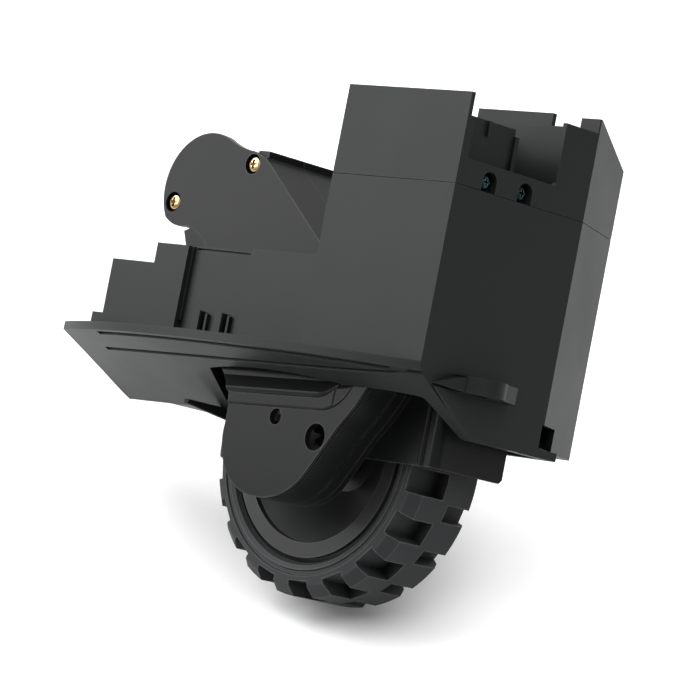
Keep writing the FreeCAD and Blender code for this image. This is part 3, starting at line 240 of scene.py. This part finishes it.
def moulded_material(name, colour, edge_highlight_colour, rough, spread, level, grain, bump, metal=0.0):
    """A base colour with painted highlights on its edges and painted shade in its hollows, and
    grain in its bump and gloss.
    """
    material = bpy.data.materials.new(name)
    material.use_nodes = True
    tree = material.node_tree
    shader = tree.nodes["Principled BSDF"]
    shader.inputs["Metallic"].default_value = metal
    shader.inputs["Specular IOR Level"].default_value = level
    surface = add(tree, "ShaderNodeGroup")
    surface.node_tree = bpy.data.node_groups["Moulded surface"]
    surface.inputs["Grain Size"].default_value = grain
    # Painted highlight: the edge mask lightens the base colour towards the edge colour
    mix = add(tree, "ShaderNodeMix", data_type="RGBA", A=(*colour, 1.0), B=(*edge_highlight_colour, 1.0))
    join(tree, surface.outputs["Edge"], mix.inputs["Factor"])
    # Painted shade: hollows darken the base colour
    painted_shade_mix = add(tree, "ShaderNodeMix", data_type="RGBA",
               B=(*(c * SHADE_SHARE for c in colour), 1.0))
    join(tree, mix.outputs["Result"], painted_shade_mix.inputs["A"])
    join(tree, surface.outputs["Hollow"], painted_shade_mix.inputs["Factor"])
    join(tree, painted_shade_mix.outputs["Result"], shader.inputs["Base Color"])
    gloss = ramp(tree, surface.outputs["Cloud"], CLOUD_SPAN, (rough - spread, rough + spread))
    join(tree, gloss, shader.inputs["Roughness"])
    relief = add(tree, "ShaderNodeBump", Strength=bump, Distance=GRAIN_HEIGHT)
    join(tree, surface.outputs["Grain"], relief.inputs["Height"])
    join(tree, relief.outputs["Normal"], shader.inputs["Normal"])
    return material


def finish(colour, edge_highlight_colour, rough, spread=0.04, level=0.5, grain=GRAIN_SIZE, bump=0.15,
           metal=0.0):
    """The values of one finish."""
    return dict(colour=colour, edge_highlight_colour=edge_highlight_colour, rough=rough, spread=spread, level=level,
                grain=grain, bump=bump, metal=metal)


def metal_finish(colour, edge_highlight_colour, rough, bump=0.1):
    """The values of one metal, with a fine grain."""
    return finish(colour, edge_highlight_colour, rough, grain=FINE_GRAIN, bump=bump, metal=1.0)


# Each finish's second colour is a painted highlight along its edges; the blue-green one on the
# dark screws is a painted glint
MATERIALS = {
    "housing_abs": finish((0.0130, 0.0144, 0.0145), (0.020, 0.022, 0.022), 0.40, 0.025,
                          level=0.08, bump=0.25),
    "gearbox_abs": finish((0.0085, 0.009, 0.009), (0.06, 0.06, 0.06), 0.30, 0.01,
                          level=0.07, bump=0.08),
    "hub_abs": finish((0.020, 0.0205, 0.021), (0.07, 0.07, 0.07), 0.36, 0.02, level=0.15),
    "tyre_rubber": finish((0.025, 0.026, 0.027), (0.10, 0.10, 0.10), 0.55, 0.05,
                          level=0.12, grain=1800.0, bump=0.4),
    "dark_screw": metal_finish((0.006, 0.011, 0.013), (0.11, 0.22, 0.22), 0.22),
    "gold_screw": metal_finish((0.36, 0.24, 0.115), (0.66, 0.48, 0.27), 0.16),
    "connector_nylon": finish((0.62, 0.60, 0.53), (0.8, 0.78, 0.7), 0.45),
    "pin_tin": metal_finish((0.78, 0.77, 0.74), (0.9, 0.9, 0.9), 0.2, bump=0.05),
    "switch_body": finish((0.02, 0.02, 0.024), (0.08, 0.08, 0.08), 0.42, level=0.3, bump=0.2),
    "switch_steel": metal_finish((0.62, 0.62, 0.60), (0.8, 0.8, 0.8), 0.3),
    "polished_steel": metal_finish((0.66, 0.66, 0.66), (0.85, 0.85, 0.85), 0.18, bump=0.05),
    "sinter_bronze": metal_finish((0.45, 0.30, 0.15), (0.65, 0.48, 0.28), 0.5, bump=0.5),
    "motor_steel": metal_finish((0.58, 0.58, 0.56), (0.8, 0.8, 0.78), 0.32),
    "motor_plastic": finish((0.04, 0.04, 0.04), (0.1, 0.1, 0.1), 0.45, level=0.3, bump=0.2),
    "rotor_iron": metal_finish((0.22, 0.20, 0.19), (0.4, 0.38, 0.36), 0.5, bump=0.3),
    "pinion_brass": metal_finish((0.70, 0.52, 0.24), (0.9, 0.75, 0.45), 0.25, bump=0.05),
    "magnet": finish((0.08, 0.08, 0.085), (0.2, 0.2, 0.2), 0.5, grain=FINE_GRAIN, bump=0.2),
    "board": finish((0.02, 0.14, 0.06), (0.3, 0.33, 0.2), 0.35, bump=0.1),
    "gear_acetal": finish((0.72, 0.71, 0.67), (0.85, 0.84, 0.8), 0.35, bump=0.1),
    "gear_dark": finish((0.12, 0.12, 0.12), (0.25, 0.25, 0.25), 0.4, bump=0.1),
    "spring_steel": metal_finish((0.55, 0.55, 0.55), (0.75, 0.75, 0.75), 0.28),
}
MADE = {}


# Finishes of the CAD nodes

def slot_of(node):
    """The record's material slot of a CAD node."""
    for row in frame["record"]["subparts"]:
        if row["node"] == node:
            return row["material_slot"]
    return None


def material_for(name):
    """The material of a slot, made once."""
    if name not in MADE:
        MADE[name] = moulded_material(name + "_finish", **MATERIALS[name])
    return MADE[name]


def soften_edges(piece, width, angle=None):
    """A small rounding of the piece's edges, or only of those sharper than the angle."""
    soften = piece.modifiers.new("Edges", "BEVEL")
    soften.width = width
    soften.segments = 2
    if angle is not None:
        soften.limit_method = "ANGLE"
        soften.angle_limit = angle
    return soften


def finish_node(node, radius):
    """Material and small rounded edges on a CAD node."""
    piece = frame["nodes"][node]
    name = slot_of(node)
    piece.data.materials.clear()
    piece.data.materials.append(material_for(name))
    if radius > 0:
        rounding = soften_edges(piece, radius, CAD_EDGE_ANGLE)
        rounding.harden_normals = True
        rounding.use_clamp_overlap = True
    return piece


# Pieces that are built here

def cut_away(piece, cutter):
    """Takes the cutter out of the piece and deletes it."""
    recess = piece.modifiers.new("Recess", "BOOLEAN")
    recess.operation = "DIFFERENCE"
    recess.solver = "EXACT"
    recess.use_self = True
    recess.object = cutter
    bpy.context.view_layer.update()
    graph = bpy.context.evaluated_depsgraph_get()
    cut = bpy.data.meshes.new_from_object(piece.evaluated_get(graph))
    piece.modifiers.clear()
    piece.data = cut
    bpy.data.objects.remove(cutter)


def linked_object(name, mesh):
    """A new object in the scene."""
    piece = bpy.data.objects.new(name, mesh)
    bpy.context.scene.collection.objects.link(piece)
    return piece


def screw_profile(head_radius, head_height, dome, shank_radius, shank_length):
    """Half outline of a domed screw, from the head's crown to the shank's end."""
    outline = []
    rim = head_height - dome
    for k in range(CROWN_STEPS + 1):
        turn = math.pi / 2 * k / CROWN_STEPS
        outline.append((head_radius * math.sin(turn), rim + dome * math.cos(turn)))
    outline += [(head_radius, 0.0), (shank_radius, 0.0), (shank_radius, -shank_length),
                (0.0, -shank_length)]
    return outline


def finished_mesh(name, work):
    """A mesh from the work, with its faces turned outwards."""
    bmesh.ops.recalc_face_normals(work, faces=work.faces)
    mesh = bpy.data.meshes.new(name)
    work.to_mesh(mesh)
    work.free()
    return mesh


def turned_mesh(name, outline, places, turn):
    """One mesh of turned solids, the outline set at each place and turned to the axis."""
    work = bmesh.new()
    for centre in places:
        rings = []
        for radius, height in outline:
            steps = 1 if radius == 0.0 else TURN_STEPS
            ring = []
            for k in range(steps):
                around = math.tau * k / TURN_STEPS
                point = Vector((radius * math.cos(around), radius * math.sin(around), height))
                ring.append(work.verts.new(centre + turn @ point))
            rings.append(ring)
        for upper, lower in zip(rings, rings[1:]):
            for k in range(TURN_STEPS):
                n = (k + 1) % TURN_STEPS
                corners = [upper[k % len(upper)], lower[k % len(lower)],
                           lower[n % len(lower)], upper[n % len(upper)]]
                unique = list(dict.fromkeys(corners))
                if len(unique) > 2:
                    work.faces.new(unique)
    return finished_mesh(name, work)


def cross_cutter(places, turn, cross, crown):
    """Tapered crosses, in millimetres, that are cut into the heads."""
    reach, width, depth = cross
    work = bmesh.new()
    for centre in places:
        for swap in (False, True):
            corners = []
            for height, share in ((crown + CROSS_CLEAR, 1.0), (crown - depth, CROSS_TAPER)):
                for sx in (-1, 1):
                    for sy in (-1, 1):
                        x, y = sx * reach * share, sy * width * (0.6 + 0.4 * share)
                        point = Vector((y, x, height) if swap else (x, y, height)) * MM
                        corners.append(work.verts.new(centre + turn @ point))
            bmesh.ops.convex_hull(work, input=corners)
    return linked_object("Cross cutter", finished_mesh("Cross cutter", work))


def cross_screws(name, node, body, slot, places, axis, sizes, cross):
    """Domed cross-head screws in one piece that stand for a CAD node."""
    turn = Vector((0, 0, 1)).rotation_difference(Vector(axis)).to_matrix()
    outline = [(r * MM, h * MM) for r, h in screw_profile(*sizes)]
    piece = linked_object(name, turned_mesh(name, outline, places, turn))
    cut_away(piece, cross_cutter(places, turn, cross, sizes[1]))
    soften_edges(piece, SCREW_EDGE * MM, SCREW_EDGE_ANGLE)
    piece.data.shade_smooth()
    piece.data.set_sharp_from_angle(angle=SCREW_SHARP_ANGLE)
    piece.data.materials.clear()
    piece.data.materials.append(material_for(slot))
    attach(piece, body)
    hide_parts(node)
    return piece


def well_rib():
    """A tapered rib under the housing's plate, along the left wall of the wheel well."""
    root = RIB_HALF + RIB_ROOT_EXTRA
    work = bmesh.new()
    sections = []
    for y, drop in RIB_LINE:
        corners = ((-root, RIB_ROOT_Z), (root, RIB_ROOT_Z), (RIB_HALF, -drop), (-RIB_HALF, -drop))
        sections.append([work.verts.new(place(RIB_X + x, y, z)) for x, z in corners])
    for near, far in zip(sections, sections[1:]):
        for k in range(4):
            n = (k + 1) % 4
            work.faces.new([near[k], near[n], far[n], far[k]])
    work.faces.new(sections[0])
    work.faces.new(sections[-1])
    piece = linked_object("well_rib", finished_mesh("well_rib", work))
    soften_edges(piece, RIB_EDGE * MM)
    piece.data.materials.append(material_for("housing_abs"))
    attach(piece, "housing")
    return piece


def loop_points(centre, span):
    """Middle line of the wire where it bends round a peg, between two angles in degrees."""
    points = []
    for k in range(LOOP_STEPS + 1):
        turn = math.radians(span[0] + (span[1] - span[0]) * k / LOOP_STEPS)
        points.append(Vector((LOOP_RADIUS * math.sin(turn), 0.0,
                              centre + LOOP_RADIUS * math.cos(turn))))
    return points


def spring_line(body):
    """Middle line of the spring's wire along z, from the arm's loop to the housing's loop."""
    points = loop_points(-LOOP_REACH, ARM_LOOP) + [Vector((0.0, 0.0, -SPRING_WIRE * 3))]
    count = SPRING_TURNS * COIL_STEPS
    for k in range(count + 1):
        turn = 2 * math.pi * k / COIL_STEPS
        points.append(Vector((SPRING_RADIUS * math.cos(turn), SPRING_RADIUS * math.sin(turn),
                              body * k / count)))
    points.append(Vector((0.0, 0.0, body + SPRING_WIRE * 3)))
    return points + loop_points(body + LOOP_REACH, HOUSING_LOOP)


def wire_mesh(name, points, radius):
    """A round wire with closed ends along a line of points."""
    work = bmesh.new()
    normal = Vector((0.0, 1.0, 0.0))
    rings = []
    for k, point in enumerate(points):
        ahead = (points[min(k + 1, len(points) - 1)] - points[max(k - 1, 0)]).normalized()
        normal = (normal - ahead * normal.dot(ahead)).normalized()
        side = ahead.cross(normal)
        ring = []
        for j in range(WIRE_SIDES):
            around = 2 * math.pi * j / WIRE_SIDES
            out = normal * math.cos(around) + side * math.sin(around)
            ring.append(work.verts.new(point + out * radius))
        rings.append(ring)
    work.faces.new(rings[0])
    work.faces.new(rings[-1])
    for low, high in zip(rings, rings[1:]):
        for j in range(WIRE_SIDES):
            i = (j + 1) % WIRE_SIDES
            work.faces.new((low[j], low[i], high[i], high[j]))
    return finished_mesh(name, work)


def stretching_spring():
    """The suspension spring, which stretches between the housing and the swing arm."""
    (x0, z0), (x1, z1) = SPRING_ENDS
    along = Vector((x1 - x0, 0.0, z1 - z0))
    line = spring_line(along.length - 2 * LOOP_REACH)
    mesh = wire_mesh("stretching_spring", line, SPRING_WIRE)
    turn = Matrix.Rotation(math.atan2(along.x, along.z), 4, "Y")
    first = place(x0, SPRING_Y, z0) + along.normalized() * LOOP_REACH * MM
    mesh.transform(Matrix.Translation(first) @ Matrix.Scale(MM, 4) @ turn)
    piece = linked_object("stretching_spring", mesh)
    mesh.shade_smooth()
    slot = slot_of("suspension_spring")
    mesh.materials.append(material_for(slot))
    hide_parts("suspension_spring")
    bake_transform(piece)


# Camera, floor and lights

def camera_axes():
    """Right, up and backward directions of the camera."""
    right = FORWARD.cross(VIEW_UP).normalized()
    up = right.cross(FORWARD).normalized()
    return right, up, -FORWARD


def build_camera(scene):
    """The camera at the photograph's angle."""
    right, up, back = camera_axes()
    eye = place(*EYE_PLACE)
    data = bpy.data.cameras.new("Camera")
    data.lens = LENS
    data.sensor_width = SENSOR
    data.clip_start, data.clip_end = CLIP
    camera = bpy.data.objects.new("Camera", data)
    camera.matrix_world = Matrix((
        (right.x, up.x, back.x, eye.x),
        (right.y, up.y, back.y, eye.y),
        (right.z, up.z, back.z, eye.z),
        (0.0, 0.0, 0.0, 1.0)))
    scene.collection.objects.link(camera)
    scene.camera = camera


def white_rays(tree):
    """One for rays from the camera and for mirrored and refracted rays, else zero."""
    path = add(tree, "ShaderNodeLightPath")
    total = path.outputs["Is Camera Ray"]
    for label in ("Is Glossy Ray", "Is Transmission Ray"):
        total = combine(tree, "MAXIMUM", total, path.outputs[label])
    return total


def blended_shader(tree, share, first, second):
    """The first shader where the share is zero and the second where it is one."""
    mix = add(tree, "ShaderNodeMixShader")
    for source, target in zip((share, first, second), mix.inputs):
        join(tree, source, target)
    return mix.outputs["Shader"]


def floor_fade(tree, direction, centre, span, levels):
    """A value that fades between two levels along a direction of the floor."""
    paper = add(tree, "ShaderNodeTexCoord")
    along = add(tree, "ShaderNodeVectorMath", operation="DOT_PRODUCT")
    along.inputs[1].default_value = direction
    join(tree, paper.outputs["Object"], along.inputs[0])
    start = centre.dot(direction)
    return ramp(tree, along.outputs["Value"], [start + s for s in span], levels,
                interpolation_type="SMOOTHSTEP")


def floor_material(right, away, centre):
    """Pale paper whose painted light fades it to white to the right of the wheel's shadow and far
    away, clear from below.
    """
    material = bpy.data.materials.new("Floor paper")
    material.use_nodes = True
    tree = material.node_tree
    shader = tree.nodes["Principled BSDF"]
    shader.inputs["Base Color"].default_value = FLOOR_COLOUR
    shader.inputs["Roughness"].default_value = FLOOR_ROUGHNESS
    shader.inputs["Emission Color"].default_value = WHITE
    # Painted light: emission for white rays, weak under the wheel and strong to its right, which
    # washes out the shadow there
    beside = floor_fade(tree, right, centre, SIDE_FADE, FLOOR_PAINTED_LIGHT)
    behind = floor_fade(tree, away, centre, FAR_FADE, (0.0, 1.0))
    level = combine(tree, "MAXIMUM", beside, behind)
    painted_floor_light = combine(tree, "MULTIPLY", level, white_rays(tree))
    join(tree, painted_floor_light, shader.inputs["Emission Strength"])
    below = add(tree, "ShaderNodeNewGeometry").outputs["Backfacing"]
    clear = add(tree, "ShaderNodeBsdfTransparent").outputs["BSDF"]
    both = blended_shader(tree, below, shader.outputs["BSDF"], clear)
    join(tree, both, tree.nodes["Material Output"].inputs["Surface"])
    return material


def build_floor():
    """A pale floor under the wheel, level in the camera's view."""
    right, up, back = camera_axes()
    normal = (up * math.cos(FLOOR_TILT) + back * math.sin(FLOOR_TILT)).normalized()
    away = normal.cross(right).normalized()
    tyre = frame["nodes"]["tyre"].data
    centre = min(tyre.vertices, key=lambda v: v.co.dot(normal)).co.copy()
    corners = [tuple(centre + (right * sx + away * sy) * FLOOR_REACH)
               for sx, sy in ((-1, -1), (1, -1), (1, 1), (-1, 1))]
    mesh = bpy.data.meshes.new("Floor")
    mesh.from_pydata(corners, [], [(0, 1, 2, 3)])
    mesh.materials.append(floor_material(right, away, centre))
    floor = linked_object("Floor", mesh)


def soft_light(name, direction, distance, side, power, target):
    """A square light that faces the target."""
    data = bpy.data.lights.new(name, "AREA")
    data.shape = "RECTANGLE"
    data.size = side
    data.size_y = side
    data.energy = power
    lamp = linked_object(name, data)
    lamp.location = target + direction.normalized() * distance
    lamp.rotation_mode = "QUATERNION"
    lamp.rotation_quaternion = (-direction).to_track_quat("-Z", "Y")


def build_lights(scene, settings):
    """Soft boxes and the white surroundings."""
    axes = camera_axes()
    for name, shares, distance, side, power in LAMPS:
        direction = sum((axis * share for axis, share in zip(axes, shares)), Vector())
        soft_light(name, direction, distance, side, getattr(settings, power), place(*LIGHT_TARGET))
    world = bpy.data.worlds.new("Studio")
    scene.world = world
    world.use_nodes = True
    tree = world.node_tree
    room = tree.nodes["Background"]
    room.inputs["Color"].default_value = WHITE
    room.inputs["Strength"].default_value = settings.room_light
    backdrop = add(tree, "ShaderNodeBackground", Color=WHITE, Strength=1.0)
    both = blended_shader(tree, white_rays(tree), room.outputs["Background"],
                          backdrop.outputs["Background"])
    join(tree, both, tree.nodes["World Output"].inputs["Surface"])


# Add-on

class WheelModuleSettings(bpy.types.PropertyGroup):
    housing_edge: bpy.props.FloatProperty(
        name="Housing edge radius", description="Rounding of the housing's edges",
        default=0.00015, min=0.0, max=0.002, unit="LENGTH")
    arm_edge: bpy.props.FloatProperty(
        name="Gearbox edge radius", description="Rounding of the gearbox's edges",
        default=0.00045, min=0.0, max=0.002, unit="LENGTH")
    front_power: bpy.props.FloatProperty(
        name="Front box", description="Power of the large soft box at the left front",
        default=5.2, min=0.0, unit="POWER")
    top_power: bpy.props.FloatProperty(
        name="Top box", description="Power of the soft box above",
        default=7.5, min=0.0, unit="POWER")
    room_light: bpy.props.FloatProperty(
        name="Room light", description="Strength of the even light from the surroundings",
        default=0.15, min=0.0, max=1.0)


class WHEELMODULE_OT_surface(bpy.types.Operator):
    """Gives every CAD node its material, and rounded edges to the housing, gearbox and hub nodes
    """
    bl_idname = "wheelmodule.surface"
    bl_label = "Finish surfaces"

    def execute(self, context):
        settings = context.scene.wheel_module
        moulded_surface()
        for node in frame["nodes"]:
            name = slot_of(node)
            radius = 0.0
            if name == "housing_abs":
                radius = settings.housing_edge
            elif name in ("gearbox_abs", "hub_abs"):
                radius = settings.arm_edge
            finish_node(node, radius)
        return {"FINISHED"}


class WHEELMODULE_OT_screws(bpy.types.Operator):
    """Builds the cross-head screws of the gearbox and of the cap"""
    bl_idname = "wheelmodule.screws"
    bl_label = "Cross-head screws"

    def execute(self, context):
        cross_screws("cover_cross_screws", "cover_screws", "swing_arm", "gold_screw",
                     [place(x, COVER_SEAT_Y, z) for x, z in COVER_SCREWS], (0, -1, 0),
                     COVER_SIZES, COVER_CROSS)
        cross_screws("cap_cross_screws", "cap_screws", "housing", "dark_screw",
                     [place(CAP_SEAT_X, y, CAP_SCREW_Z) for y in CAP_SCREW_Y], (1, 0, 0),
                     CAP_SIZES, CAP_CROSS)
        return {"FINISHED"}


class WHEELMODULE_OT_skirt(bpy.types.Operator):
    """Builds the low rib that hangs along the left side of the wheel well"""
    bl_idname = "wheelmodule.skirt"
    bl_label = "Wheel well rib"

    def execute(self, context):
        well_rib()
        return {"FINISHED"}


class WHEELMODULE_OT_spring(bpy.types.Operator):
    """Builds the suspension spring between the housing and the swing arm"""
    bl_idname = "wheelmodule.spring"
    bl_label = "Suspension spring"

    def execute(self, context):
        stretching_spring()
        return {"FINISHED"}


class WHEELMODULE_OT_stage(bpy.types.Operator):
    """Builds the floor, the soft lights and the camera"""
    bl_idname = "wheelmodule.stage"
    bl_label = "Studio stage"

    def execute(self, context):
        scene = context.scene
        build_camera(scene)
        build_floor()
        build_lights(scene, scene.wheel_module)
        scene.view_settings.view_transform = "Standard"
        scene.view_settings.look = "None"
        return {"FINISHED"}


class WHEELMODULE_PT_panel(bpy.types.Panel):
    bl_idname = "WHEELMODULE_PT_panel"
    bl_label = "Wheel Module"
    bl_space_type = "VIEW_3D"
    bl_region_type = "UI"
    bl_category = "Wheel Module"

    def draw(self, context):
        settings = context.scene.wheel_module
        for name in SETTINGS:
            self.layout.prop(settings, name)
        for operator in OPERATORS:
            self.layout.operator(operator.bl_idname)


OPERATORS = (WHEELMODULE_OT_surface, WHEELMODULE_OT_screws, WHEELMODULE_OT_skirt,
             WHEELMODULE_OT_spring, WHEELMODULE_OT_stage)
CLASSES = (WheelModuleSettings, *OPERATORS, WHEELMODULE_PT_panel)


def register():
    for cls in CLASSES:
        bpy.utils.register_class(cls)
    bpy.types.Scene.wheel_module = bpy.props.PointerProperty(type=WheelModuleSettings)


def unregister():
    del bpy.types.Scene.wheel_module
    for cls in reversed(CLASSES):
        bpy.utils.unregister_class(cls)


def main():
    register()
    bpy.ops.wheelmodule.surface()
    bpy.ops.wheelmodule.screws()
    bpy.ops.wheelmodule.skirt()
    bpy.ops.wheelmodule.spring()
    bpy.ops.wheelmodule.stage()


if __name__ == "__main__":
    main()
